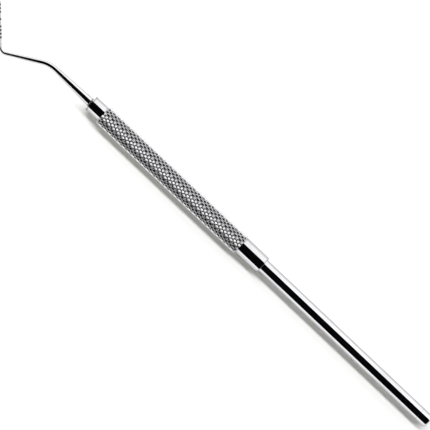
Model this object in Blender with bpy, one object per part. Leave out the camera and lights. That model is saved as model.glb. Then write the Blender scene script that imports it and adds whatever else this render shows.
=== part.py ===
# Periodontal probe: a banded, twice-bent working end that screws into a hollow knurled handle.
# Metres, +Z up. The handle lies along X with its tail towards +X. The instrument rests as it does
# on a table, on its knurled grip and on the knee of its shank.

import math

import bmesh
import bpy
from mathutils import Matrix, Vector

# Driving dimensions, in millimetres. Places along the handle are measured from the nose's front
# face, positive towards the tail.
GRIP_D = 6.0
GRIP_LENGTH = 51.2
GRIP_BORE = 4.24
GRIP_CHAMFER = 0.25
NOSE_D = 4.62
NOSE_LENGTH = 4.68
NOSE_CHAMFER = 0.15
COLLAR_D = 5.15
COLLAR_LENGTH = 8.05
COLLAR_CHAMFER = 0.15
STEM_D = 3.9
STEM_WALL = 0.45
STEM_LENGTH = 58.2
PLUG_HEAD_LENGTH = 3.42
PLUG_ROUNDING = 0.6
SPIGOT_D = 4.2
NOSE_SPIGOT_LENGTH = 6.0
REAR_SPIGOT_LENGTH = 8.0
STEM_SEAT_DEPTH = 6.0
PLUG_SPIGOT_LENGTH = 5.0

# Working end: an upper shank in line with the handle, a lower shank, and the measuring tip.
SHANK_BASE_D = 2.54
UPPER_SHANK_LENGTH = 15.0
LOWER_SHANK_LENGTH = 14.3
LOWER_SHANK_ANGLE = 31.2
TIP_LENGTH = 14.2
TIP_ANGLE = 49.5
SHANK_BEND_R = 8.0
KNEE_BEND_R = 1.8
TIP_END_D = 0.5
TIP_BASE_D = 0.86
KNEE_D = 1.1
SHANK_BEND_D = 1.7

# Depth bands: black fill in grooves centred on these distances from the tip's end.
BAND_MARKS = (1, 2, 3, 5, 7, 8, 9, 10)
BAND_WIDTH = 0.5
GROOVE_DEPTH = 0.08

# Screw joint between the working end and the nose: a 2 mm coarse thread, right-handed.
THREAD_D = 2.0
THREAD_PITCH = 0.4
THREAD_DEPTH = 0.2165
THREAD_SLACK = 0.03
STUD_THREAD_START = 0.8
STUD_TURNS = 8
NOSE_TURNS = 10
STUD_NECK_D = 1.4
STUD_END_D = 1.2
STUD_END_LENGTH = 0.3
COUNTERBORE_D = 2.2
RELIEF_BORE_D = 1.66
WASHER_THICKNESS = 0.2
WASHER_D = 2.62
WASHER_BORE = 1.7

SEAM = 0.02     # gap between handle pieces that are pressed together
FILL_GAP = 0.01    # gap round a band in its groove, and each side of the washer

HANDLE_SIDES = 48
GRIP_SIDES = 36     # one for each line of crests that the knurl has round the grip
SHANK_SIDES = 20

GRIP_END = NOSE_LENGTH + GRIP_LENGTH
COLLAR_END = GRIP_END + COLLAR_LENGTH
STEM_END = COLLAR_END + STEM_LENGTH
TAIL = STEM_END + PLUG_HEAD_LENGTH
SHOULDER = -(WASHER_THICKNESS + 2 * FILL_GAP)


def clear_scene():
    for item in list(bpy.data.objects):
        bpy.data.objects.remove(item, do_unlink=True)


def metal(name, colour, roughness, metallic=1.0):
    material = bpy.data.materials.new(name)
    material.use_nodes = True
    shader = material.node_tree.nodes["Principled BSDF"]
    shader.inputs["Base Color"].default_value = (*colour, 1.0)
    shader.inputs["Roughness"].default_value = roughness
    shader.inputs["Metallic"].default_value = metallic
    return material


def finish(name, mesh_data, material, parent, sharp_angle=30):
    """Closes the mesh up in metres, with its faces outwards and its edges sharp where it turns."""
    bmesh.ops.recalc_face_normals(mesh_data, faces=mesh_data.faces[:])
    bmesh.ops.transform(mesh_data, matrix=Matrix.Scale(0.001, 4), verts=mesh_data.verts[:])
    mesh = bpy.data.meshes.new(name)
    mesh_data.to_mesh(mesh)
    mesh_data.free()
    mesh.shade_smooth()
    mesh.set_sharp_from_angle(angle=math.radians(sharp_angle))
    mesh.materials.append(material)
    piece = bpy.data.objects.new(name, mesh)
    bpy.context.collection.objects.link(piece)
    piece.parent = parent
    return piece


def ring(mesh_data, centre, radius, across, sides):
    """A loop of vertices round a centre, in the plane of the direction across and of Z."""
    turns = [2 * math.pi * i / sides for i in range(sides)]
    up = Vector((0, 0, 1))
    return [mesh_data.verts.new(centre + radius * (math.cos(a) * across + math.sin(a) * up)) for a in turns]


def join(mesh_data, first, second):
    """Quads between two loops of the same number of vertices."""
    count = len(first)
    for i in range(count):
        j = (i + 1) % count
        mesh_data.faces.new((first[i], first[j], second[j], second[i]))


def axis_ring(mesh_data, place, radius, sides):
    return ring(mesh_data, Vector((place, 0, 0)), radius, Vector((0, 1, 0)), sides)


def turned(name, profile, material, parent, sides=HANDLE_SIDES, closed=False):
    """A piece turned about the handle's axis from (place, diameter) points along its section.

    A closed profile runs all round the wall of a tube or ring; an open one is a bar with flat ends.
    """
    mesh_data = bmesh.new()
    rings = [axis_ring(mesh_data, place, diameter / 2, sides) for place, diameter in profile]
    for first, second in zip(rings, rings[1:]):
        join(mesh_data, first, second)
    if closed:
        join(mesh_data, rings[-1], rings[0])
    else:
        mesh_data.faces.new(rings[0])
        mesh_data.faces.new(rings[-1])
    return finish(name, mesh_data, material, parent)


def wound_row(mesh_data, start, radius, sides):
    """A loop of vertices that climbs the axis by one pitch in its turn."""
    line = []
    for column in range(sides):
        turn = column / sides
        angle = 2 * math.pi * turn
        place = start + THREAD_PITCH * turn
        line.append(mesh_data.verts.new((place, radius * math.cos(angle), radius * math.sin(angle))))
    return line


def screw_thread(mesh_data, before, after, start, turns, crest_radius, sides, runs_out=False):
    """A right-handed thread between two rings: a strip of four rows a pitch, wound up the axis.

    Row by row the strip follows the helix, so the last column meets the first one pitch further
    on. The thread stops at each end in a flat wall across its section, unless it runs out: then
    the row before it is wound too, at a wider radius, and the groove opens into that.
    """
    root = crest_radius - THREAD_DEPTH
    rows_per_turn = [(0.0, root), (0.3125, crest_radius), (0.4375, crest_radius), (0.75, root)]
    step = len(rows_per_turn)
    rows = []
    for row in range(turns * step + 1):
        share, radius = rows_per_turn[row % step]
        rows.append(wound_row(mesh_data, start + THREAD_PITCH * (row // step + share), radius, sides))
    last = sides - 1
    for row in range(len(rows) - 1):
        for column in range(last):
            mesh_data.faces.new((rows[row][column], rows[row][column + 1],
                                 rows[row + 1][column + 1], rows[row + 1][column]))
    for row in range(len(rows) - 1 - step):
        mesh_data.faces.new((rows[row][last], rows[row + step][0],
                             rows[row + step + 1][0], rows[row + 1][last]))
    for column in range(last):
        mesh_data.faces.new((before[column], before[column + 1], rows[0][column + 1], rows[0][column]))
        mesh_data.faces.new((rows[-1][column], rows[-1][column + 1], after[column + 1], after[column]))
    first = [rows[k][0] for k in range(step + 1)]
    if runs_out:
        close_fan(mesh_data, before[last], [before[0], *first[1:step], rows[0][last]])
        mesh_data.faces.new((before[0], first[0], first[1]))
        mesh_data.faces.new((rows[0][last], first[step - 1], first[step]))
    else:
        mesh_data.faces.new(first[:step])
        close_fan(mesh_data, rows[0][last], [before[last], before[0], first[0], first[step - 1], first[step]])
    top = [rows[-1 - k][last] for k in range(step + 1)]
    mesh_data.faces.new(top[1:])
    close_fan(mesh_data, rows[-1][0], [after[0], after[last], top[0], top[1], top[step]])


def close_fan(mesh_data, hub, rim):
    for first, second in zip(rim, rim[1:]):
        mesh_data.faces.new((hub, first, second))


def working_path():
    """The centre line from the tip's end to the shoulder: straight runs and arcs in the XY plane.

    Returns the corners' own points, from which the arcs are struck.
    """
    bend = Vector((SHOULDER - UPPER_SHANK_LENGTH, 0, 0))
    lower = math.radians(LOWER_SHANK_ANGLE)
    knee = bend + LOWER_SHANK_LENGTH * Vector((-math.cos(lower), -math.sin(lower), 0))
    rise = math.radians(TIP_ANGLE)
    end = knee + TIP_LENGTH * Vector((-math.cos(rise), math.sin(rise), 0))
    return [end, knee, bend, Vector((SHOULDER, 0, 0))]


def rounded_line(corners, radii):
    """Stretches of a line with rounded corners: (length, point at a distance along the stretch)."""
    stretches = []
    start = corners[0]
    for previous, corner, following, radius in zip(corners, corners[1:], corners[2:], radii):
        inward = (corner - previous).normalized()
        outward = (following - corner).normalized()
        turn = inward.angle(outward)
        reach = radius * math.tan(turn / 2)
        side = 1 if inward.cross(outward).z > 0 else -1
        arc_start = corner - reach * inward
        stretches.append(("run", start, inward, (arc_start - start).length))
        stretches.append(("arc", arc_start, inward, radius * turn, radius, side))
        start = corner + reach * outward
    inward = (corners[-1] - corners[-2]).normalized()
    stretches.append(("run", start, inward, (corners[-1] - start).length))
    return stretches


def place_on(stretches, distance):
    """Point and direction at a distance along the rounded line."""
    for stretch in stretches:
        kind, start, inward, length = stretch[:4]
        if distance <= length or stretch is stretches[-1]:
            break
        distance -= length
    if kind == "run":
        return start + distance * inward, inward
    radius, side = stretch[4:]
    normal = side * Vector((-inward.y, inward.x, 0))
    angle = distance / radius
    point = start + radius * (math.sin(angle) * inward + (1 - math.cos(angle)) * normal)
    return point, (math.cos(angle) * inward + math.sin(angle) * normal).normalized()


def taper(distance, knots):
    """Diameter at a distance, read straight between (distance, diameter) knots."""
    for (first, wide), (second, narrow) in zip(knots, knots[1:]):
        if distance <= second:
            return wide + (narrow - wide) * (distance - first) / (second - first)
    return knots[-1][1]


def shank_knots(stretches):
    """Where the working end changes its taper, from the tip's end to the shoulder."""
    tip, knee_arc, lower, bend_arc, upper = [stretch[3] for stretch in stretches]
    past_knee = tip + knee_arc
    past_bend = past_knee + lower + bend_arc
    total = past_bend + upper
    return [(0, TIP_END_D), (tip, TIP_BASE_D), (past_knee, KNEE_D), (past_bend, SHANK_BEND_D),
            (total - 0.25, SHANK_BASE_D), (total, SHANK_BASE_D)]


def shank_stations(stretches, knots):
    """(distance, diameter) for every ring: the rounded end, the grooves, the tapers and the bends."""
    tip, knee_arc, lower, bend_arc, upper = [stretch[3] for stretch in stretches]
    stations = []
    for step in range(4):
        slope = math.radians(10 + 26 * step)
        rounding = TIP_END_D / 2
        stations.append((rounding * (1 - math.sin(slope)), TIP_END_D * math.cos(slope)))
    stations = stations[::-1]
    for mark in BAND_MARKS:
        low, high = mark - BAND_WIDTH / 2, mark + BAND_WIDTH / 2
        stations.append((low, taper(low, knots)))
        stations.append((low, taper(low, knots) - 2 * GROOVE_DEPTH))
        stations.append((high, taper(high, knots) - 2 * GROOVE_DEPTH))
        stations.append((high, taper(high, knots)))
    bends = [(tip, knee_arc, 8), (tip + knee_arc + lower, bend_arc, 6)]
    for start, length, steps in bends:
        for step in range(steps + 1):
            distance = start + length * step / steps
            stations.append((distance, taper(distance, knots)))
    stations.append((knots[-2][0], SHANK_BASE_D))
    return stations


def make_working_end(parent, material):
    """Tip, shank, shoulder and threaded stud in one piece, with a groove for each band."""
    stretches = rounded_line(working_path(), (KNEE_BEND_R, SHANK_BEND_R))
    knots = shank_knots(stretches)
    mesh_data = bmesh.new()
    rings = []
    for distance, diameter in shank_stations(stretches, knots):
        centre, ahead = place_on(stretches, distance)
        across = Vector((-ahead.y, ahead.x, 0))
        rings.append(ring(mesh_data, centre, diameter / 2, across, SHANK_SIDES))
    crest = THREAD_D / 2 - THREAD_SLACK
    thread_end = STUD_THREAD_START + THREAD_PITCH * (STUD_TURNS + 1)
    plain = ((SHOULDER, SHANK_BASE_D - 0.2), (SHOULDER, STUD_NECK_D), (STUD_THREAD_START - 0.1, STUD_NECK_D))
    for place, diameter in plain:
        rings.append(axis_ring(mesh_data, place, diameter / 2, SHANK_SIDES))
    for first, second in zip(rings, rings[1:]):
        join(mesh_data, first, second)
    after = axis_ring(mesh_data, thread_end + 0.1, STUD_NECK_D / 2, SHANK_SIDES)
    screw_thread(mesh_data, rings[-1], after, STUD_THREAD_START, STUD_TURNS, crest, SHANK_SIDES)
    tail = axis_ring(mesh_data, thread_end + STUD_END_LENGTH, STUD_END_D / 2, SHANK_SIDES)
    join(mesh_data, after, tail)
    mesh_data.faces.new(tail)
    mesh_data.faces.new(rings[0])
    return finish("working_end", mesh_data, material, parent)


def make_bands(parent, material):
    """One ring of black fill for each groove, flush with the tip."""
    stretches = rounded_line(working_path(), (KNEE_BEND_R, SHANK_BEND_R))
    knots = shank_knots(stretches)
    for mark in BAND_MARKS:
        mesh_data = bmesh.new()
        low = mark - BAND_WIDTH / 2 + FILL_GAP
        high = mark + BAND_WIDTH / 2 - FILL_GAP
        section = []
        for distance, depth in ((low, 0), (high, 0), (high, GROOVE_DEPTH), (low, GROOVE_DEPTH)):
            inset = depth - FILL_GAP if depth else 0
            section.append((distance, taper(distance, knots) - 2 * inset))
        rings = []
        for distance, diameter in section:
            centre, ahead = place_on(stretches, distance)
            across = Vector((-ahead.y, ahead.x, 0))
            rings.append(ring(mesh_data, centre, diameter / 2, across, SHANK_SIDES))
        for first, second in zip(rings, rings[1:] + rings[:1]):
            join(mesh_data, first, second)
        finish(f"depth_band_{mark}mm", mesh_data, material, parent)


def make_washer(parent, material):
    """The sealing washer that the shoulder pinches against the nose."""
    front, back = SHOULDER + FILL_GAP, -FILL_GAP
    section = [(front, WASHER_D), (back, WASHER_D), (back, WASHER_BORE), (front, WASHER_BORE)]
    turned("seal_washer", section, material, parent, sides=24, closed=True)


def make_nose(parent, material):
    """Smooth nose: threaded for the stud, with a spigot pressed into the grip.

    Its thread starts where the stud's helix, turned with the working end, meets it in mesh, and
    runs out into the counterbore at its mouth.
    """
    mesh_data = bmesh.new()
    thread_start = STUD_THREAD_START - THREAD_PITCH * (1 + resting_roll() / (2 * math.pi))
    spigot_end = NOSE_LENGTH + NOSE_SPIGOT_LENGTH
    outside = [(0, NOSE_D - 2 * NOSE_CHAMFER), (NOSE_CHAMFER, NOSE_D), (NOSE_LENGTH - SEAM, NOSE_D),
               (NOSE_LENGTH - SEAM, SPIGOT_D), (spigot_end - 0.3, SPIGOT_D), (spigot_end, SPIGOT_D - 0.6)]
    thread_end = thread_start + THREAD_PITCH * (NOSE_TURNS + 1)
    relief = [(spigot_end, RELIEF_BORE_D), (thread_end + 0.1, RELIEF_BORE_D)]
    rings = [axis_ring(mesh_data, place, d / 2, SHANK_SIDES * 2) for place, d in outside]
    inner = [axis_ring(mesh_data, place, d / 2, SHANK_SIDES) for place, d in relief]
    entry = [wound_row(mesh_data, thread_start - 0.1, COUNTERBORE_D / 2, SHANK_SIDES),
             axis_ring(mesh_data, 0, COUNTERBORE_D / 2, SHANK_SIDES)]
    for first, second in zip(rings, rings[1:]):
        join(mesh_data, first, second)
    join(mesh_data, *inner)
    join(mesh_data, *entry)
    crest = THREAD_D / 2 + THREAD_SLACK
    screw_thread(mesh_data, entry[0], inner[1], thread_start, NOSE_TURNS, crest, SHANK_SIDES, runs_out=True)
    for wide, narrow in ((rings[-1], inner[0]), (rings[0], entry[1])):
        join_double(mesh_data, wide, narrow)
    return finish("nose_ferrule", mesh_data, material, parent)


def join_double(mesh_data, wide, narrow):
    """A flat ring between a loop and one of half as many vertices."""
    count = len(narrow)
    for i in range(count):
        j = (i + 1) % count
        mesh_data.faces.new((wide[2 * i], wide[2 * i + 1], narrow[i]))
        mesh_data.faces.new((wide[2 * i + 1], wide[(2 * i + 2) % (2 * count)], narrow[j], narrow[i]))


def make_grip(parent, material):
    """Hollow knurled sleeve between the nose and the collar.

    Its diameters are across its flats, and it is turned by half a side to rest on one of them.
    """
    front, back = NOSE_LENGTH, GRIP_END - SEAM
    corner = 1 / math.cos(math.pi / GRIP_SIDES)
    outer, bore, ends = GRIP_D * corner, GRIP_BORE * corner, (GRIP_D - 2 * GRIP_CHAMFER) * corner
    section = [(front, ends), (front + GRIP_CHAMFER, outer), (back - GRIP_CHAMFER, outer),
               (back, ends), (back, bore), (front, bore)]
    sleeve = turned("knurled_sleeve", section, material, parent, sides=GRIP_SIDES, closed=True)
    sleeve.rotation_euler = (math.pi / GRIP_SIDES, 0, 0)


def make_rear_ferrule(parent, material):
    """Smooth collar: a spigot forwards into the grip, and a socket backwards for the stem."""
    front = GRIP_END
    seat = COLLAR_END - STEM_SEAT_DEPTH
    socket = STEM_D + 2 * SEAM
    section = [(front - REAR_SPIGOT_LENGTH, SPIGOT_D - 0.6), (front - REAR_SPIGOT_LENGTH + 0.3, SPIGOT_D),
               (front, SPIGOT_D), (front, COLLAR_D), (COLLAR_END - COLLAR_CHAMFER, COLLAR_D),
               (COLLAR_END, COLLAR_D - 2 * COLLAR_CHAMFER), (COLLAR_END, socket), (seat, socket)]
    turned("rear_ferrule", section, material, parent)


def make_stem(parent, material):
    """Thin tube from its seat in the collar to the tail plug."""
    front, back = COLLAR_END - STEM_SEAT_DEPTH + SEAM, STEM_END - SEAM
    bore = STEM_D - 2 * STEM_WALL
    section = [(front, STEM_D), (back, STEM_D), (back, bore), (front, bore)]
    turned("stem_tube", section, material, parent, closed=True)


def make_plug(parent, material):
    """Tail plug with a rounded end, pressed into the stem."""
    spigot = STEM_D - 2 * STEM_WALL - 2 * SEAM
    section = [(STEM_END - PLUG_SPIGOT_LENGTH, spigot - 0.5), (STEM_END - PLUG_SPIGOT_LENGTH + 0.25, spigot),
               (STEM_END, spigot), (STEM_END, STEM_D)]
    steps = 5
    for step in range(steps + 1):
        slope = math.radians(90 * step / steps)
        place = TAIL - PLUG_ROUNDING * (1 - math.sin(slope))
        section.append((place, STEM_D - 2 * PLUG_ROUNDING * (1 - math.cos(slope))))
    turned("tail_plug", section, material, parent)


def resting_roll():
    """How far the working end is turned about the handle so that its knee meets the table."""
    lower, rise = math.radians(LOWER_SHANK_ANGLE), math.radians(TIP_ANGLE)
    turn = lower + rise
    reach = LOWER_SHANK_LENGTH * math.sin(lower)
    reach -= KNEE_BEND_R * (math.tan(turn / 2) * math.sin(lower) + math.cos(lower) - 1)
    knee_radius = (TIP_BASE_D + (KNEE_D - TIP_BASE_D) * rise / turn) / 2
    return math.asin((GRIP_D / 2 - knee_radius) / reach)


def centre_over_floor(frame):
    """Moves the whole instrument so that its box stands with its bottom centre on the origin."""
    bpy.context.view_layer.update()
    corners = []
    for piece in frame.children_recursive:
        if piece.type == "MESH":
            corners += [piece.matrix_world @ vertex.co for vertex in piece.data.vertices]
    low = [min(corner[axis] for corner in corners) for axis in range(3)]
    high = [max(corner[axis] for corner in corners) for axis in range(3)]
    frame.location = (-(low[0] + high[0]) / 2, -(low[1] + high[1]) / 2, -low[2])


def main():
    clear_scene()
    frame = bpy.data.objects.new("handle_axis", None)
    bpy.context.collection.objects.link(frame)
    screw = bpy.data.objects.new("screw_axis", None)
    bpy.context.collection.objects.link(screw)
    screw.parent = frame
    screw.rotation_euler = (resting_roll(), 0, 0)
    polished = metal("polished_steel", (0.78, 0.78, 0.79), 0.08)
    knurled = metal("knurled_steel", (0.74, 0.74, 0.75), 0.2)
    fill = metal("band_fill", (0.012, 0.012, 0.013), 0.35, metallic=0.0)
    seal = metal("washer_seal", (0.12, 0.12, 0.12), 0.5, metallic=0.0)
    make_working_end(screw, polished)
    make_bands(screw, fill)
    make_washer(frame, seal)
    make_nose(frame, polished)
    make_grip(frame, knurled)
    make_rear_ferrule(frame, polished)
    make_stem(frame, polished)
    make_plug(frame, polished)
    centre_over_floor(frame)


main()
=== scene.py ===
import math

import bpy
import mathutils
import numpy as np
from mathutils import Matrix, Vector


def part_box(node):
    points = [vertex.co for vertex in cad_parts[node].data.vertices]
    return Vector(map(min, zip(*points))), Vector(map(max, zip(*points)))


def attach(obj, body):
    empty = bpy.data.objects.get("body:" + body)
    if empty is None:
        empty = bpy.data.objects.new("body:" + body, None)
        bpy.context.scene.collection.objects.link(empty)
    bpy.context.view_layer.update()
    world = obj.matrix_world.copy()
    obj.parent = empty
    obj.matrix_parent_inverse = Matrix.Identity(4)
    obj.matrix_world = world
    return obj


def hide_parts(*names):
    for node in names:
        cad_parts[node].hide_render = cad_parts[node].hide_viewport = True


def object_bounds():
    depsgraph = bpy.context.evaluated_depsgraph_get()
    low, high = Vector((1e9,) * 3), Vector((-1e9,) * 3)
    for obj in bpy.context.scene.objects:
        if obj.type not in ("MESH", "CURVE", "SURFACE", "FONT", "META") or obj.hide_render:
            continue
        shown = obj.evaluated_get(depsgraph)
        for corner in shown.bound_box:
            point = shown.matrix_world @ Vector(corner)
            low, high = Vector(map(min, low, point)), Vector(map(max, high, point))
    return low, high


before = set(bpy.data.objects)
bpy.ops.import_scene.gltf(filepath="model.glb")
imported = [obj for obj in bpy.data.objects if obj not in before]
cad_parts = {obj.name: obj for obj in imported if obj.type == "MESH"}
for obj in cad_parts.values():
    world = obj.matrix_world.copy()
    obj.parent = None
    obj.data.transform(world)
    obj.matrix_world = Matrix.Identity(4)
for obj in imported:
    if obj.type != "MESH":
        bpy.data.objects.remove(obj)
cadLow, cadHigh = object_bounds()

# Shapes are worked out in millimetres along the handle's own axis, from the nose's front face to the tail.
mm = 0.001
noseLow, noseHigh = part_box("nose_ferrule")
stemLow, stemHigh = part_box("stem_tube")
noseFront = noseLow.x
axisY = (stemLow.y + stemHigh.y) / 2
axisZ = (stemLow.z + stemHigh.z) / 2


# A node's two ends along the handle and its greatest radius.
def measured(node):
    low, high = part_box(node)
    return (low.x - noseFront) / mm, (high.x - noseFront) / mm, (high.z - low.z) / mm / 2


# Corners (place, radius, fillet) become a section line. Each corner is an arc that touches both of its
# runs, and a point just outside each arc keeps the runs straight in the shading.
def filletedLine(corners, closed=False, steps=6, support=0.03):
    spots = np.array([corner[:2] for corner in corners], float)
    made = []
    for index, (*_, fillet) in enumerate(corners):
        atEnd = not closed and index in (0, len(corners) - 1)
        if atEnd or fillet == 0:
            made.append(spots[index:index + 1])
            continue
        before = spots[index - 1] - spots[index]
        after = spots[(index + 1) % len(spots)] - spots[index]
        lengths = np.linalg.norm(before), np.linalg.norm(after)
        before, after = before / lengths[0], after / lengths[1]
        halfAngle = math.acos(np.clip(before @ after, -1, 1)) / 2
        touch = fillet / math.tan(halfAngle)
        bisector = (before + after) / np.linalg.norm(before + after)
        centre = spots[index] + bisector * fillet / math.sin(halfAngle)
        first = spots[index] + before * touch - centre
        last = spots[index] + after * touch - centre
        sweep = math.pi - 2 * halfAngle
        share = np.linspace(0, 1, steps + 1)[:, None]
        arc = centre + (np.sin((1 - share) * sweep) * first + np.sin(share * sweep) * last) / math.sin(sweep)
        lead = spots[index] + before * min(touch + support, lengths[0] / 2)
        trail = spots[index] + after * min(touch + support, lengths[1] / 2)
        made.append(np.vstack([lead, arc, trail]))
    line = np.vstack(made)
    return line[:, 0], line[:, 1]


# A radius for each row, or for each point round each row, as a grid of rows by points round.
def radiusGrid(radii, sides):
    radii = np.asarray(radii, float)
    return radii[:, None] + np.zeros(sides) if radii.ndim == 1 else radii


# Points round the handle's axis: at each place a ring that far along it, a radius times the cosine across
# and the sine up.
def turnedPoints(places, radii, sides):
    turn = np.arange(sides) / sides * 2 * np.pi
    radii = radiusGrid(radii, sides)
    x = noseFront / mm + np.asarray(places, float)[:, None] + np.zeros(sides)
    y = axisY / mm + radii * np.cos(turn)
    z = axisZ / mm + radii * np.sin(turn)
    return np.stack([x, y, z], axis=2)


skin = dict(sharpAngle=36)    # edges that turn by more than this are sharp


# A closed skin over rows of points, each row a ring. A section that is a loop joins its last ring to its
# first, and otherwise a point in the middle of each end ring closes it. Where rising is given, it says
# for each cell which way it is cut into triangles, so that an edge can follow a groove. Its UV map is the
# share of a turn and the distance along in millimetres, and values are numbers kept at the points for the
# materials.
def makeSkin(name, points, material, looped=False, rising=None, values=None):
    rows, sides = points.shape[:2]
    row, column = np.meshgrid(np.arange(rows if looped else rows - 1), np.arange(sides), indexing="ij")
    nextRow, nextColumn = (row + 1) % rows, (column + 1) % sides
    cells = np.stack([row * sides + column, row * sides + nextColumn,
                      nextRow * sides + nextColumn, nextRow * sides + column], axis=2).reshape(-1, 4)
    steps = np.linalg.norm(np.diff(points[:, 0], axis=0, append=points[:1, 0]), axis=1)
    along = np.concatenate([[0], np.cumsum(steps)])
    share = np.stack([column, column + 1, column + 1, column], axis=2).reshape(-1, 4) / sides
    depth = np.stack([along[row], along[row], along[row + 1], along[row + 1]], axis=2).reshape(-1, 4)
    cellMap = np.stack([share, depth], axis=2)
    if rising is None:
        quads, quadMap = cells, cellMap
        triangles, triangleMap = np.zeros((0, 3), int), np.zeros((0, 3, 2))
    else:
        quads, quadMap = np.zeros((0, 4), int), np.zeros((0, 4, 2))
        up, down = rising.ravel(), ~rising.ravel()
        cuts = [(up, [0, 1, 2]), (up, [0, 2, 3]), (down, [0, 1, 3]), (down, [1, 2, 3])]
        triangles = np.vstack([cells[which][:, cut] for which, cut in cuts])
        triangleMap = np.vstack([cellMap[which][:, cut] for which, cut in cuts])
    corners = points.reshape(-1, 3)
    if not looped:
        middle = len(corners)
        corners = np.vstack([corners, points[[0, -1]].mean(axis=1)])
        here = np.arange(sides)
        there = (here + 1) % sides
        front = np.stack([here * 0 + middle, there, here], axis=1)
        back = np.stack([here * 0 + middle + 1, middle - sides + here, middle - sides + there], axis=1)
        frontShare = np.stack([here + 0.5, here + 1, here], axis=1) / sides
        backShare = np.stack([here + 0.5, here, here + 1], axis=1) / sides
        frontMap = np.stack([frontShare, np.zeros((sides, 3))], axis=2)
        backMap = np.stack([backShare, np.full((sides, 3), along[rows - 1])], axis=2)
        triangles = np.vstack([triangles, front, back])
        triangleMap = np.vstack([triangleMap, frontMap, backMap])
    faces = quads if len(quads) else triangles
    a, b, c = [corners[faces[:, k]] for k in (0, 1, 2)]
    outward = np.einsum("ij,ij->i", a - corners.mean(axis=0), np.cross(b - a, c - a)).sum()
    if outward < 0:
        quads, quadMap = quads[:, ::-1], quadMap[:, ::-1]
        triangles, triangleMap = triangles[:, ::-1], triangleMap[:, ::-1]
    loops = np.concatenate([quads.ravel(), triangles.ravel()])
    loopMap = np.vstack([quadMap.reshape(-1, 2), triangleMap.reshape(-1, 2)])
    starts = np.concatenate([np.arange(len(quads)) * 4, len(quads) * 4 + np.arange(len(triangles)) * 3])
    mesh = bpy.data.meshes.new(name)
    mesh.vertices.add(len(corners))
    mesh.vertices.foreach_set("co", (corners * mm).astype(np.float32).ravel())
    mesh.loops.add(len(loops))
    mesh.loops.foreach_set("vertex_index", loops.astype(np.int32))
    mesh.polygons.add(len(starts))
    mesh.polygons.foreach_set("loop_start", starts.astype(np.int32))
    mesh.uv_layers.new(name="surface").data.foreach_set("uv", loopMap.astype(np.float32).ravel())
    mesh.update(calc_edges=True)
    for label, value in (values or {}).items():
        spread = np.zeros(len(corners), np.float32)
        spread[:rows * sides] = np.broadcast_to(value, (rows, sides)).ravel()
        mesh.attributes.new(label, "FLOAT", "POINT").data.foreach_set("value", spread)
    mesh.shade_smooth()
    mesh.set_sharp_from_angle(angle=math.radians(skin["sharpAngle"]))
    mesh.materials.append(material)
    piece = bpy.data.objects.new(name, mesh)
    bpy.context.scene.collection.objects.link(piece)
    return piece


# Extra rows near both ends of each long run, so that what is kept at the points can fade close to a seam.
def withFadeRows(places, radii, gaps=(0.1, 0.25, 0.6)):
    along = np.concatenate([[0], np.cumsum(np.hypot(np.diff(places), np.diff(radii)))])
    longRun = np.diff(along) > 2 * max(gaps)
    starts, ends = along[:-1][longRun, None], along[1:][longRun, None]
    distances = np.unique(np.concatenate([along, (starts + gaps).ravel(), (ends - gaps).ravel()]))
    return np.interp(distances, along, places), np.interp(distances, along, radii)


# How much grime a row holds: 1 at a seam, fading away over a short distance along the piece.
def seamGrime(places, seams, reach=0.16):
    gap = np.abs(np.asarray(places, float)[:, None] - np.array(seams, float)).min(axis=1)
    return np.exp(-gap / reach)[:, None]


# A shader node with some of its inputs set.
def addNode(tree, kind, **inputs):
    node = tree.nodes.new(kind)
    for label, value in inputs.items():
        node.inputs[label.replace("_", " ")].default_value = value
    return node


def blankMaterial(name):
    material = bpy.data.materials.new(name)
    material.use_nodes = True
    return material, material.node_tree, material.node_tree.nodes["Principled BSDF"]


# A value from 0 to 1 becomes one from low to high.
def ranged(tree, source, low, high, fromLow=0.0, fromHigh=1.0):
    node = addNode(tree, "ShaderNodeMapRange", From_Min=fromLow, From_Max=fromHigh, To_Min=low, To_Max=high)
    tree.links.new(source, node.inputs["Value"])
    return node.outputs["Result"]


# The colour socket of a Mix node: share 0 gives the first colour and 1 the second, each a colour or a
# socket.
def mixedColour(tree, share, first, second):
    node = tree.nodes.new("ShaderNodeMix")
    node.data_type = "RGBA"
    for socket, colour in zip((node.inputs[6], node.inputs[7]), (first, second)):
        if isinstance(colour, tuple):
            socket.default_value = (*colour, 1)
        else:
            tree.links.new(colour, socket)
    tree.links.new(share, node.inputs["Factor"])
    return node.outputs[2]


# Noise read off the object or the surface map, stretched by scale and centred on the handle's axis.
def noiseOn(tree, scale, detail=3.0, roughness=0.55, source="Object"):
    place = tree.nodes.new("ShaderNodeTexCoord")
    mapping = addNode(tree, "ShaderNodeMapping", Scale=scale)
    if source == "Object":
        mapping.inputs["Location"].default_value = (0, -axisY * scale[1], -axisZ * scale[2])
    noise = addNode(tree, "ShaderNodeTexNoise", Scale=1.0, Detail=detail, Roughness=roughness)
    tree.links.new(place.outputs[source], mapping.inputs["Vector"])
    tree.links.new(mapping.outputs["Vector"], noise.inputs["Vector"])
    return noise.outputs["Fac"]


def combined(tree, operation, first, second):
    node = tree.nodes.new("ShaderNodeMath")
    node.operation = operation
    node.use_clamp = True
    for socket, value in zip(node.inputs, (first, second)):
        if isinstance(value, (int, float)):
            socket.default_value = value
        else:
            tree.links.new(value, socket)
    return node.outputs[0]


def pointValue(tree, label):
    node = tree.nodes.new("ShaderNodeAttribute")
    node.attribute_name = label
    return node.outputs["Fac"]


def bumped(tree, shader, height, strength, distance):
    node = addNode(tree, "ShaderNodeBump", Strength=strength, Distance=distance)
    tree.links.new(height, node.inputs["Height"])
    tree.links.new(node.outputs["Normal"], shader.inputs["Normal"])


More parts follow.
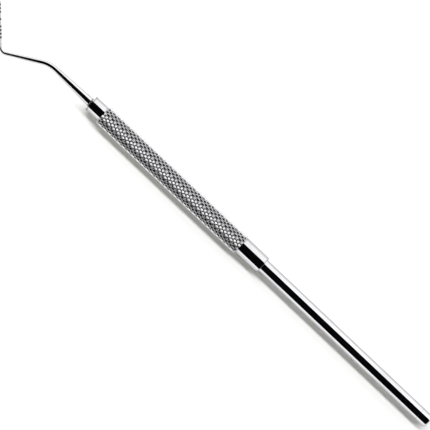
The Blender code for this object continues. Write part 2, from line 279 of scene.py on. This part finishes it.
# Polished steel: bright, with handling smudges, polishing lines in one direction and grime in the seams.
# Where it is frosted, as round the depth bands, it is pale and dull, and scatters light as well as
# mirroring it.
polish = dict(bright=(0.64, 0.64, 0.65), dull=(0.57, 0.57, 0.585), grime=(0.16, 0.155, 0.145),
              frost=(0.62, 0.62, 0.63), edge=0.35, smooth=0.03, smudged=0.06, lined=0.015, grimy=0.25,
              frosted=0.35, mirrored=0.35, stained=0.8, smudgeSize=4.5, smudgeFrom=0.42, smudgeTo=0.72,
              lineStrength=0.12, lineDepth=0.0000006)


def polishedSteel(name, lineScale, source):
    material, tree, shader = blankMaterial(name)
    blotch = 1 / (polish["smudgeSize"] * mm)
    smudge = noiseOn(tree, (blotch * 0.6, blotch, blotch), detail=5)
    smudge = ranged(tree, smudge, 0, 1, polish["smudgeFrom"], polish["smudgeTo"])
    lines = noiseOn(tree, lineScale, detail=4, roughness=0.65, source=source)
    grime = pointValue(tree, "grime")
    frost = pointValue(tree, "frost")
    steel = mixedColour(tree, smudge, polish["bright"], polish["dull"])
    pale = mixedColour(tree, frost, steel, polish["frost"])
    stain = combined(tree, "MULTIPLY", grime, polish["stained"])
    tree.links.new(mixedColour(tree, stain, pale, polish["grime"]), shader.inputs["Base Color"])
    worn = combined(tree, "ADD", ranged(tree, smudge, polish["smooth"], polish["smudged"]),
                    ranged(tree, lines, 0, polish["lined"]))
    worn = combined(tree, "ADD", worn, combined(tree, "MULTIPLY", frost, polish["frosted"]))
    tree.links.new(combined(tree, "ADD", worn, combined(tree, "MULTIPLY", grime, polish["grimy"])),
                   shader.inputs["Roughness"])
    tree.links.new(ranged(tree, frost, 1, polish["mirrored"]), shader.inputs["Metallic"])
    shader.inputs["Specular Tint"].default_value = (polish["edge"],) * 3 + (1,)
    bumped(tree, shader, lines, polish["lineStrength"], polish["lineDepth"])
    return material


# Knurled steel: the crests are polished by hands; the grooves are duller, hold grime and get painted shade.
# The groove colour is near black: it is grime and painted shade in the grooves.
knurlLook = dict(crest=(0.72, 0.72, 0.73), flank=(0.6, 0.6, 0.615), groove=(0.13, 0.126, 0.122), flankAt=0.58,
                 edge=0.5, smooth=0.07, rough=0.2, speck=0.25, mottle=0.09,
                 bumpStrength=0.3, bumpDepth=0.000004)


def knurledSteel():
    material, tree, shader = blankMaterial("knurledSteel")
    # This point value pulls the colour towards the groove colour: grime and painted shade in the recesses.
    shadeAndDirt = pointValue(tree, "shadeAndDirt")
    speck = noiseOn(tree, (1 / (knurlLook["speck"] * mm),) * 3, detail=4)
    ramp = tree.nodes.new("ShaderNodeValToRGB")
    ramp.color_ramp.elements[0].color = (*knurlLook["crest"], 1)
    ramp.color_ramp.elements[1].color = (*knurlLook["groove"], 1)
    middle = ramp.color_ramp.elements.new(knurlLook["flankAt"])
    middle.color = (*knurlLook["flank"], 1)
    mottledShadeAndDirt = combined(tree, "ADD", shadeAndDirt, ranged(tree, speck, -knurlLook["mottle"], knurlLook["mottle"]))
    tree.links.new(mottledShadeAndDirt, ramp.inputs["Fac"])
    tree.links.new(ramp.outputs["Color"], shader.inputs["Base Color"])
    tree.links.new(ranged(tree, mottledShadeAndDirt, knurlLook["smooth"], knurlLook["rough"]), shader.inputs["Roughness"])
    shader.inputs["Metallic"].default_value = 1.0
    shader.inputs["Specular Tint"].default_value = (knurlLook["edge"],) * 3 + (1,)
    bumped(tree, shader, speck, knurlLook["bumpStrength"], knurlLook["bumpDepth"])
    return material


# Black fill in the tip's grooves: baked enamel with a faint mottle, pinholes and a dusty edge.
enamel = dict(deep=(0.006, 0.006, 0.007), worn=(0.03, 0.03, 0.031), grain=0.12, smooth=0.22, rough=0.42,
              grainWear=0.6, edgeWear=0.4, coat=0.3, coatRough=0.15, bumpStrength=0.3, bumpDepth=0.000003)


def bandEnamel():
    material, tree, shader = blankMaterial("bandEnamel")
    grain = noiseOn(tree, (1 / (enamel["grain"] * mm),) * 3, detail=6, roughness=0.7)
    edge = pointValue(tree, "edge")
    wear = combined(tree, "ADD", ranged(tree, grain, 0, enamel["grainWear"]),
                    combined(tree, "MULTIPLY", edge, enamel["edgeWear"]))
    tree.links.new(mixedColour(tree, wear, enamel["deep"], enamel["worn"]), shader.inputs["Base Color"])
    tree.links.new(ranged(tree, wear, enamel["smooth"], enamel["rough"]), shader.inputs["Roughness"])
    shader.inputs["Coat Weight"].default_value = enamel["coat"]
    shader.inputs["Coat Roughness"].default_value = enamel["coatRough"]
    bumped(tree, shader, grain, enamel["bumpStrength"], enamel["bumpDepth"])
    return material


# Moulded rubber of the sealing washer.
rubber = dict(dark=(0.05, 0.05, 0.05), pale=(0.12, 0.12, 0.118), grain=0.06, smooth=0.45, rough=0.65,
              bumpStrength=0.4, bumpDepth=0.000005)


def washerRubber():
    material, tree, shader = blankMaterial("washerRubber")
    grain = noiseOn(tree, (1 / (rubber["grain"] * mm),) * 3, detail=5)
    tree.links.new(mixedColour(tree, grain, rubber["dark"], rubber["pale"]), shader.inputs["Base Color"])
    tree.links.new(ranged(tree, grain, rubber["smooth"], rubber["rough"]), shader.inputs["Roughness"])
    bumped(tree, shader, grain, rubber["bumpStrength"], rubber["bumpDepth"])
    return material


turnedSteel = polishedSteel("turnedSteel", (26000, 90, 90), "Object")    # lines run round the turned pieces
strokedSteel = polishedSteel("strokedSteel", (70, 0.8, 1), "UV")    # lines run along the hand-finished shank
knurled = knurledSteel()
fill = bandEnamel()
seal = washerRubber()
print("materials made")

# The working end: runs and bends of its line, its radii, and its edges. Lengths are in millimetres.
shank = dict(upperLength=15.0, lowerLength=14.3, lowerAngle=31.2, tipLength=14.2, tipAngle=49.5,
             shankBend=8.0, kneeBend=1.8, tipEnd=0.25, tipBase=0.43, kneeRadius=0.55, bendRadius=0.85,
             baseRadius=1.27, landLength=0.25, shoulderEdge=0.1, fillet=0.03, softening=0.9,
             spacing=0.14, margin=0.05, sides=72, frostEnds=(12.2, 13.4),
             shoulderGrime=0.7, grimeReach=0.12, studGrime=0.3, studGrimeFrom=0.3)
bands = dict(marks=(1, 2, 3, 5, 7, 8, 9, 10), width=0.5, depth=0.08, gap=0.01, wall=0.008, support=0.04,
             below=0.002, meniscus=0.006, roundedEdge=0.006)
thread = dict(radius=1.0, depth=0.2165, pitch=0.4, slack=0.03, start=0.8, turns=8, noseTurns=10, lead=0.1,
              neck=0.7, end=0.6, endLength=0.3, endEdge=0.08, rowsPerPitch=14, counterbore=1.1, relief=0.83)
washerFront, washerBack, washerRadius = measured("seal_washer")
shoulder = washerFront + washerBack    # the shoulder stands off the washer as the nose does on its other side


# How far the working end is turned about the handle so that its knee meets the table.
def restingRoll():
    lower, rise = math.radians(shank["lowerAngle"]), math.radians(shank["tipAngle"])
    turn = lower + rise
    reach = shank["lowerLength"] * math.sin(lower)
    reach -= shank["kneeBend"] * (math.tan(turn / 2) * math.sin(lower) + math.cos(lower) - 1)
    kneeRadius = shank["tipBase"] + (shank["kneeRadius"] - shank["tipBase"]) * rise / turn
    gripRadius = measured("knurled_sleeve")[2]
    return math.asin((gripRadius - kneeRadius) / reach)


# The centre line, from the tip's end to the shoulder and on through the stud. Its heading stays put along
# each run and turns steadily along each bend, and adding up small steps of it gives the line.
def workingLine():
    lower, rise = math.radians(shank["lowerAngle"]), math.radians(shank["tipAngle"])
    nearReach = shank["shankBend"] * math.tan(lower / 2)
    farReach = shank["kneeBend"] * math.tan((lower + rise) / 2)
    lengths = [shank["tipLength"] - farReach, shank["kneeBend"] * (lower + rise),
               shank["lowerLength"] - farReach - nearReach, shank["shankBend"] * lower,
               shank["upperLength"] - nearReach]
    marks = np.concatenate([[0], np.cumsum(lengths)])
    studEnd = thread["start"] + thread["pitch"] * (thread["turns"] + 1) + thread["endLength"]
    total = marks[-1] + studEnd - shoulder
    distance = np.linspace(0, total, 9000)
    heading = np.interp(distance, marks[:5], [-rise, -rise, lower, lower, 0])
    step = np.diff(distance)
    turned = (heading[1:] + heading[:-1]) / 2
    forward = np.concatenate([[0], np.cumsum(np.cos(turned) * step)])
    sideways = np.concatenate([[0], np.cumsum(np.sin(turned) * step)])
    forward += studEnd - forward[-1]
    sideways -= sideways[-1]
    return marks, distance, heading, forward, sideways


lineMarks, lineDistance, lineHeading, lineForward, lineSideways = workingLine()
shoulderDistance = lineMarks[-1]
roll = restingRoll()


# Points round the working end's line: each ring stands square to the line's heading, in a plane that is
# then rolled about the handle's axis.
def workingPoints(distances, radii, sides):
    turn = np.arange(sides) / sides * 2 * np.pi
    radii = radiusGrid(radii, sides)
    heading = np.interp(distances, lineDistance, lineHeading)[:, None]
    forward = np.interp(distances, lineDistance, lineForward)[:, None]
    sideways = np.interp(distances, lineDistance, lineSideways)[:, None]
    x = forward - radii * np.cos(turn) * np.sin(heading)
    y = sideways + radii * np.cos(turn) * np.cos(heading)
    z = radii * np.sin(turn)
    return np.stack([noseFront / mm + x,
                     axisY / mm + y * math.cos(roll) - z * math.sin(roll),
                     axisZ / mm + y * math.sin(roll) + z * math.cos(roll)], axis=2)


# The shank's radius at a distance from the tip's end: straight tapers between the bends, run together
# smoothly by averaging over a short length.
def shankRadius(distances):
    knots = [0, lineMarks[1], lineMarks[2], lineMarks[4], shoulderDistance - shank["landLength"]]
    radii = [shank["tipEnd"], shank["tipBase"], shank["kneeRadius"], shank["bendRadius"], shank["baseRadius"]]
    offsets = np.linspace(-0.5, 0.5, 9) * shank["softening"]
    distances = np.asarray(distances, float)
    return np.interp(distances[:, None] + offsets, knots, radii).mean(axis=1)


# The screw thread's height above its root, 0 to 1, from how far along a pitch a point lies: flank, crest,
# flank, root. It fades away over half a pitch at its end, and at its start too unless it runs out there.
def threadRise(places, turn, start, turns, runsOut=False):
    phase = (places - start) / thread["pitch"] - turn
    rise = np.interp(phase % 1, [0, 0.3125, 0.4375, 0.75, 1], [0, 1, 1, 0, 0])
    begun = 1 if runsOut else np.clip(phase * 2, 0, 1)
    return rise * begun * np.clip((turns - phase) * 2, 0, 1)


# Rows of the shank: a quarter circle in section for the tip's round end, the tapers, and a square groove
# for each band.
def shankRows():
    tipEnd, half = shank["tipEnd"], bands["width"] / 2
    slope = np.linspace(0.08, 1, 8) * math.pi / 2
    roundEnd = tipEnd * (1 - np.cos(slope))
    bodyEnd = shoulderDistance - shank["shoulderEdge"] - shank["margin"]
    body = np.arange(tipEnd + shank["margin"], bodyEnd, shank["spacing"])
    edges = np.array([-bands["support"], -bands["wall"], 0, bands["support"]])
    edges = np.concatenate([-half + edges, half - edges])
    grooves = (np.array(bands["marks"], float)[:, None] + edges).ravel()
    distances = np.unique(np.concatenate([roundEnd, body, grooves]).round(5))
    offset = np.abs(distances[:, None] - np.array(bands["marks"])).min(axis=1)
    groove = np.interp(offset, [half, half + bands["wall"]], [bands["depth"], 0])
    ball = np.sqrt(np.clip(1 - ((tipEnd - distances) / tipEnd).clip(0) ** 2, 0, 1))
    return distances, shankRadius(distances) * ball - groove


# Rows of the shoulder's rim and flat back, and of the neck up to the thread.
def shoulderRows():
    edge, fillet = shank["shoulderEdge"], shank["fillet"]
    neckEnd = shoulderDistance + thread["start"] - shoulder - thread["lead"]
    corners = [(shoulderDistance - edge, shank["baseRadius"], 0),
               (shoulderDistance, shank["baseRadius"] - edge, fillet),
               (shoulderDistance, thread["neck"], fillet), (neckEnd, thread["neck"], 0)]
    return filletedLine(corners)


# Rows of the stud, as places along the handle: the thread, then a plain end with a small chamfer.
def studRows(sides):
    turn = np.arange(sides) / sides
    start, end = thread["start"], thread["start"] + thread["pitch"] * (thread["turns"] + 1)
    tip = end + thread["endLength"]
    places = np.arange(start, end, thread["pitch"] / thread["rowsPerPitch"])
    root = thread["radius"] - thread["slack"] - thread["depth"]
    screw = root + thread["depth"] * threadRise(places[:, None], turn, start, thread["turns"])
    plainPlaces = [end + thread["lead"], tip - thread["endEdge"], tip]
    plainRadii = np.array([thread["neck"], thread["end"], thread["end"] - thread["endEdge"]])
    return np.concatenate([places, plainPlaces]), np.vstack([screw, radiusGrid(plainRadii, sides)])


def makeWorkingEnd():
    sides = shank["sides"]
    shankDistances, shankRadii = shankRows()
    rimDistances, rimRadii = shoulderRows()
    studPlaces, studRadii = studRows(sides)
    distances = np.concatenate([shankDistances, rimDistances, studPlaces + shoulderDistance - shoulder])
    radii = np.vstack([radiusGrid(np.concatenate([shankRadii, rimRadii]), sides), studRadii])
    grime = seamGrime(distances, [shoulderDistance], shank["grimeReach"]) * shank["shoulderGrime"]
    onStud = distances > shoulderDistance + shank["studGrimeFrom"]
    grime = np.maximum(grime, np.where(onStud, shank["studGrime"], 0)[:, None])
    frost = np.interp(distances, shank["frostEnds"], [1, 0])[:, None]
    return makeSkin("workingEnd", workingPoints(distances, radii, sides), strokedSteel,
                    values={"grime": grime, "frost": frost})


workingEnd = makeWorkingEnd()
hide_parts("working_end")
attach(workingEnd, "tip")
print("working end made")


# One ring of enamel for each groove: a loop in section, whose outer face dips along a parabola between
# edges that are rounded off a little.
def makeDepthBand(mark):
    low, high = mark - bands["width"] / 2 + bands["gap"], mark + bands["width"] / 2 - bands["gap"]
    across = np.linspace(-1, 1, 13)
    outerPlaces = (low + high) / 2 + across * (high - low) / 2
    outer = shankRadius(outerPlaces) - bands["meniscus"] * (1 - across ** 2) - bands["below"]
    outer[[0, -1]] -= bands["roundedEdge"]
    inner = shankRadius(np.array([high, low])) - bands["depth"] + bands["gap"]
    distances = np.concatenate([outerPlaces, [high, low]])
    edge = np.concatenate([np.abs(across) ** 6, [0, 0]])[:, None]
    sides = shank["sides"]
    points = workingPoints(distances, np.concatenate([outer, inner]), sides)
    return makeSkin(f"depthBand{mark}mm", points, fill, looped=True, values={"edge": edge})


for mark in bands["marks"]:
    band = makeDepthBand(mark)
    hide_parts(f"depth_band_{mark}mm")
    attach(band, "tip")
print("depth bands made")


washer = dict(bore=0.85, rounding=0.05, support=0.01, sides=96)


# The sealing washer: a rounded square section turned round the axis.
def makeWasher():
    rounding = washer["rounding"]
    corners = [(washerFront, washerRadius, rounding), (washerBack, washerRadius, rounding),
               (washerBack, washer["bore"], rounding), (washerFront, washer["bore"], rounding)]
    places, radii = filletedLine(corners, closed=True, support=washer["support"])
    return makeSkin("sealWasher", turnedPoints(places, radii, washer["sides"]), seal, looped=True)


sealWasher = makeWasher()
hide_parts("seal_washer")
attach(sealWasher, "washer")


handle = dict(sides=128, spigot=2.1, spigotLead=0.3, edge=0.04, leadEdge=0.05, innerEdge=0.03, seam=0.02)
nose = dict(radius=2.31, rounding=0.07)
sleeveStart, sleeveEnd, sleeveRadius = measured("knurled_sleeve")


# A turned piece from section corners; its seams are where it meets its neighbours.
def makeTurned(name, corners, seams, closed=True):
    places, radii = withFadeRows(*filletedLine(corners, closed=closed))
    points = turnedPoints(places, radii, handle["sides"])
    return makeSkin(name, points, turnedSteel, looped=closed, values={"grime": seamGrime(places, seams)})


def fitPiece(piece, node):
    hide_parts(node)
    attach(piece, "handle")


# The nose: smooth outside, with the stud's thread cut in its bore and a spigot behind it for the grip.
def makeNose():
    noseEnd, spigotEnd = sleeveStart - handle["seam"], measured("nose_ferrule")[1]
    radius, rounding, spigot = nose["radius"], nose["rounding"], handle["spigot"]
    lead, leadEdge, innerEdge = handle["spigotLead"], handle["leadEdge"], handle["innerEdge"]
    start = thread["start"] - thread["pitch"] * (1 + roll / (2 * math.pi))
    end = start + thread["pitch"] * (thread["noseTurns"] + 1)
    outside = [(start - thread["lead"], thread["counterbore"], 0), (0, thread["counterbore"], leadEdge),
               (0, radius, rounding), (noseEnd, radius, handle["edge"]), (noseEnd, spigot, 0),
               (spigotEnd - lead, spigot, leadEdge), (spigotEnd, spigot - lead, innerEdge),
               (spigotEnd, thread["relief"], innerEdge), (end + thread["lead"], thread["relief"], 0)]
    places, radii = withFadeRows(*filletedLine(outside))
    sides = handle["sides"]
    turn = np.arange(sides) / sides
    boreRows = thread["noseTurns"] * thread["rowsPerPitch"]
    borePlaces = np.linspace(end, start, boreRows)[:, None]
    root = thread["radius"] + thread["slack"] - thread["depth"]
    bore = root + thread["depth"] * threadRise(borePlaces, turn, start, thread["noseTurns"], runsOut=True)
    allPlaces = np.concatenate([places, borePlaces[:, 0]])
    allRadii = np.vstack([radiusGrid(radii, sides), bore])
    return makeSkin("noseFerrule", turnedPoints(allPlaces, allRadii, sides), turnedSteel, looped=True,
                    values={"grime": seamGrime(allPlaces, [noseEnd, start])})


fitPiece(makeNose(), "nose_ferrule")

# The last three numbers darken the colour in the grooves, where grooves cross and in the bore: partly grime,
# partly painted shade.
knurl = dict(perTurn=18, pitch=1.74, depth=0.32, steps=12, chamfer=0.25, bore=2.12,
             grooveShadeAndDirt=0.4, crossingShadeAndDirt=0.5, boreShadeAndDirt=0.5)


# Height of the knurl, 0 in a groove and 1 on a crest: two families of grooves wind opposite ways round
# the grip, each a sine squared, and each point takes the lower of the two. The second result darkens the
# colour, partly as grime and partly as painted shade, in the grooves and most where two grooves cross.
def knurlRise(places, turn):
    middle = (sleeveStart + sleeveEnd) / 2
    wind = knurl["perTurn"] * turn
    travel = (places - middle) / knurl["pitch"]
    slopes = [np.sin((wind + way * travel) * np.pi) ** 2 for way in (1, -1)]
    rise = np.minimum(*slopes)
    crossing = 1 - np.maximum(*slopes)
    return rise, knurl["grooveShadeAndDirt"] * (1 - rise) + knurl["crossingShadeAndDirt"] * crossing


# The grip: rows and columns fall on the knurl's grooves and crests, and the cells that a rising groove
# crosses are cut along it.
def makeSleeve():
    columns = knurl["perTurn"] * knurl["steps"]
    rowGap = knurl["pitch"] / knurl["steps"]
    middle = (sleeveStart + sleeveEnd) / 2
    reach = int((sleeveEnd - sleeveStart) / 2 / rowGap)
    number = np.arange(-reach, reach + 1)
    places = middle + number * rowGap
    places[[0, -1]] = sleeveStart, sleeveEnd
    turn = np.arange(columns) / columns
    # Besides its height, each point gets a darkening value: grime and painted shade in grooves, crossings and
    # the bore.
    rise, shadeAndDirt = knurlRise(places[:, None], turn)
    radii = sleeveRadius - knurl["depth"] * (1 - rise)
    fromEnd = np.minimum(places - sleeveStart, sleeveEnd - places)
    radii = np.minimum(radii, (sleeveRadius - knurl["chamfer"] + fromEnd)[:, None])
    allPlaces = np.concatenate([places, [sleeveEnd, sleeveStart]])
    allRadii = np.vstack([radii, np.full((2, columns), knurl["bore"])])
    shadeAndDirt = np.vstack([shadeAndDirt, np.full((2, columns), knurl["boreShadeAndDirt"])])
    rowNumber = np.append(number, [number[-1] + 1, number[-1] + 2])[:, None]
    rising = (rowNumber - np.arange(columns)) % (knurl["steps"] // 2) == 0
    return makeSkin("knurledSleeve", turnedPoints(allPlaces, allRadii, columns), knurled, looped=True,
                    rising=rising, values={"shadeAndDirt": shadeAndDirt})


knurledSleeve = makeSleeve()
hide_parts("knurled_sleeve")
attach(knurledSleeve, "handle")
print("knurled sleeve made")

collar = dict(rounding=0.12, seat=6.0, bore=1.5)


# The collar: a spigot forwards into the grip, and a socket backwards for the stem.
def makeCollar():
    front, back, radius = measured("rear_ferrule")
    face = sleeveEnd + handle["seam"]
    spigot, socket = handle["spigot"], stemRadius + handle["seam"]
    seat, bore = back - collar["seat"], collar["bore"]
    lead, innerEdge = handle["spigotLead"], handle["innerEdge"]
    corners = [(front, spigot - lead, innerEdge), (front + lead, spigot, handle["leadEdge"]),
               (face, spigot, 0), (face, radius, handle["edge"]),
               (back, radius, collar["rounding"]), (back, socket, innerEdge),
               (seat, socket, 0), (seat, bore, innerEdge), (front, bore, innerEdge)]
    return makeTurned("rearFerrule", corners, [face, back])


stem = dict(bore=1.5)
stemStart, stemEnd, stemRadius = measured("stem_tube")


def makeStem():
    bore = stem["bore"]
    collarEnd = measured("rear_ferrule")[1]
    corners = [(stemStart, stemRadius, 0), (stemEnd, stemRadius, handle["edge"]), (stemEnd, bore, 0),
               (stemStart, bore, 0)]
    return makeTurned("stemTube", corners, [collarEnd])


plug = dict(rounding=0.6, spigotLead=0.25, centre=0.02)


# The tail plug: a solid spigot in the stem, and a head with a rounded rim and a flat end.
def makePlug():
    front, back, radius = measured("tail_plug")
    face, spigot = stemEnd + handle["seam"], stem["bore"] - handle["seam"]
    lead = plug["spigotLead"]
    corners = [(front, spigot - lead, 0), (front + lead, spigot, handle["leadEdge"]), (face, spigot, 0),
               (face, radius, handle["edge"]), (back, radius, plug["rounding"]), (back, plug["centre"], 0)]
    return makeTurned("tailPlug", corners, [front], closed=False)


fitPiece(makeCollar(), "rear_ferrule")
fitPiece(makeStem(), "stem_tube")
fitPiece(makePlug(), "tail_plug")
print("handle made")

# The studio, in metres; the card's and the lamps' angles are degrees from straight up, towards -Y.
studio = dict(floorSize=6.0, floorWhite=(0.9, 0.9, 0.9), floorCream=(0.8865, 0.8865, 0.882),
              floorRough=0.8, floorShine=0.1, fibre=400,
              surround=1.55, cardBlack=(0.004, 0.004, 0.0045), cardRough=0.9,
              cardHeight=1.0, cardLow=-35.0, cardHigh=69.5, cardLength=8.0)
lamps = dict(keyLight=dict(along=0.0, angle=-23.0, distance=0.85, width=0.13, length=1.5, power=8.8,
                           colour=(1, 1, 1)),
             fillLight=dict(along=-0.3, angle=58.0, distance=0.42, width=0.3, length=0.3, power=1.1,
                            colour=(1, 0.99, 0.9)))


def makePlane(name, corners, material):
    mesh = bpy.data.meshes.new(name)
    mesh.from_pydata(corners, [], [(0, 1, 2, 3)])
    mesh.materials.append(material)
    piece = bpy.data.objects.new(name, mesh)
    bpy.context.scene.collection.objects.link(piece)
    return piece


def makeFloor():
    material, tree, shader = blankMaterial("floorPaper")
    fibre = noiseOn(tree, (studio["fibre"],) * 3, detail=6)
    colour = mixedColour(tree, fibre, studio["floorWhite"], studio["floorCream"])
    tree.links.new(colour, shader.inputs["Base Color"])
    shader.inputs["Roughness"].default_value = studio["floorRough"]
    shader.inputs["Specular IOR Level"].default_value = studio["floorShine"]
    half = studio["floorSize"] / 2
    corners = [(-half, -half, 0), (half, -half, 0), (half, half, 0), (-half, half, 0)]
    return makePlane("floor", corners, material)


# A black card over the table: polished steel shows it as a dark stripe along its top, leaning towards -Y.
def makeCard():
    material, tree, shader = blankMaterial("blackCard")
    shader.inputs["Base Color"].default_value = (*studio["cardBlack"], 1)
    shader.inputs["Roughness"].default_value = studio["cardRough"]
    shader.inputs["Specular IOR Level"].default_value = 0.0
    height, half = studio["cardHeight"], studio["cardLength"] / 2
    near = -height * math.tan(math.radians(studio["cardLow"]))
    far = -height * math.tan(math.radians(studio["cardHigh"]))
    corners = [(-half, far, height), (-half, near, height), (half, near, height), (half, far, height)]
    card = makePlane("blackCard", corners, material)
    card.visible_camera = False
    return card


# White surroundings, and two soft lamps that don't show in the steel. The working end is left out of their
# shadows for the look: these lamps would draw a clear shadow under it, and the table there stays plain.
def makeLights():
    world = bpy.data.worlds.new("studio")
    bpy.context.scene.world = world
    world.use_nodes = True
    background = world.node_tree.nodes["Background"]
    background.inputs["Color"].default_value = (1, 1, 1, 1)
    background.inputs["Strength"].default_value = studio["surround"]
    shadowless = bpy.data.collections.new("castsNoShadow")
    shadowless.objects.link(workingEnd)
    shadowless.collection_objects[0].light_linking.link_state = "EXCLUDE"
    for name, lamp in lamps.items():
        light = bpy.data.lights.new(name, "AREA")
        light.shape = "RECTANGLE"
        light.size, light.size_y = lamp["length"], lamp["width"]
        light.energy = lamp["power"]
        light.color = lamp["colour"]
        piece = bpy.data.objects.new(name, light)
        angle = math.radians(lamp["angle"])
        place = mathutils.Vector((lamp["along"], -lamp["distance"] * math.sin(angle),
                                  lamp["distance"] * math.cos(angle)))
        piece.location = place
        piece.rotation_euler = place.to_track_quat("Z", "Y").to_euler()
        piece.visible_glossy = False
        piece.light_linking.blocker_collection = shadowless
        bpy.context.scene.collection.objects.link(piece)


# The width of the view and the camera's place off the middle are in millimetres, and its turn in degrees.
view = dict(lens=200.0, width=116.2, acrossX=0.76, acrossY=2.83, turn=43.40, clipFrom=0.05, clipTo=20)


# The camera looks straight down, from far off with a long lens.
def makeCamera():
    data = bpy.data.cameras.new("camera")
    data.lens = view["lens"]
    data.clip_start, data.clip_end = view["clipFrom"], view["clipTo"]
    camera = bpy.data.objects.new("camera", data)
    middle = (cadLow + cadHigh) / 2
    height = view["width"] * mm * view["lens"] / data.sensor_width
    camera.location = (middle.x + view["acrossX"] * mm, middle.y + view["acrossY"] * mm, height + axisZ)
    camera.rotation_euler = (0, 0, math.radians(view["turn"]))
    bpy.context.scene.collection.objects.link(camera)
    bpy.context.scene.camera = camera


makeFloor()
makeCard()
makeLights()
makeCamera()
bpy.context.scene.view_settings.view_transform = "Standard"
print("studio made")
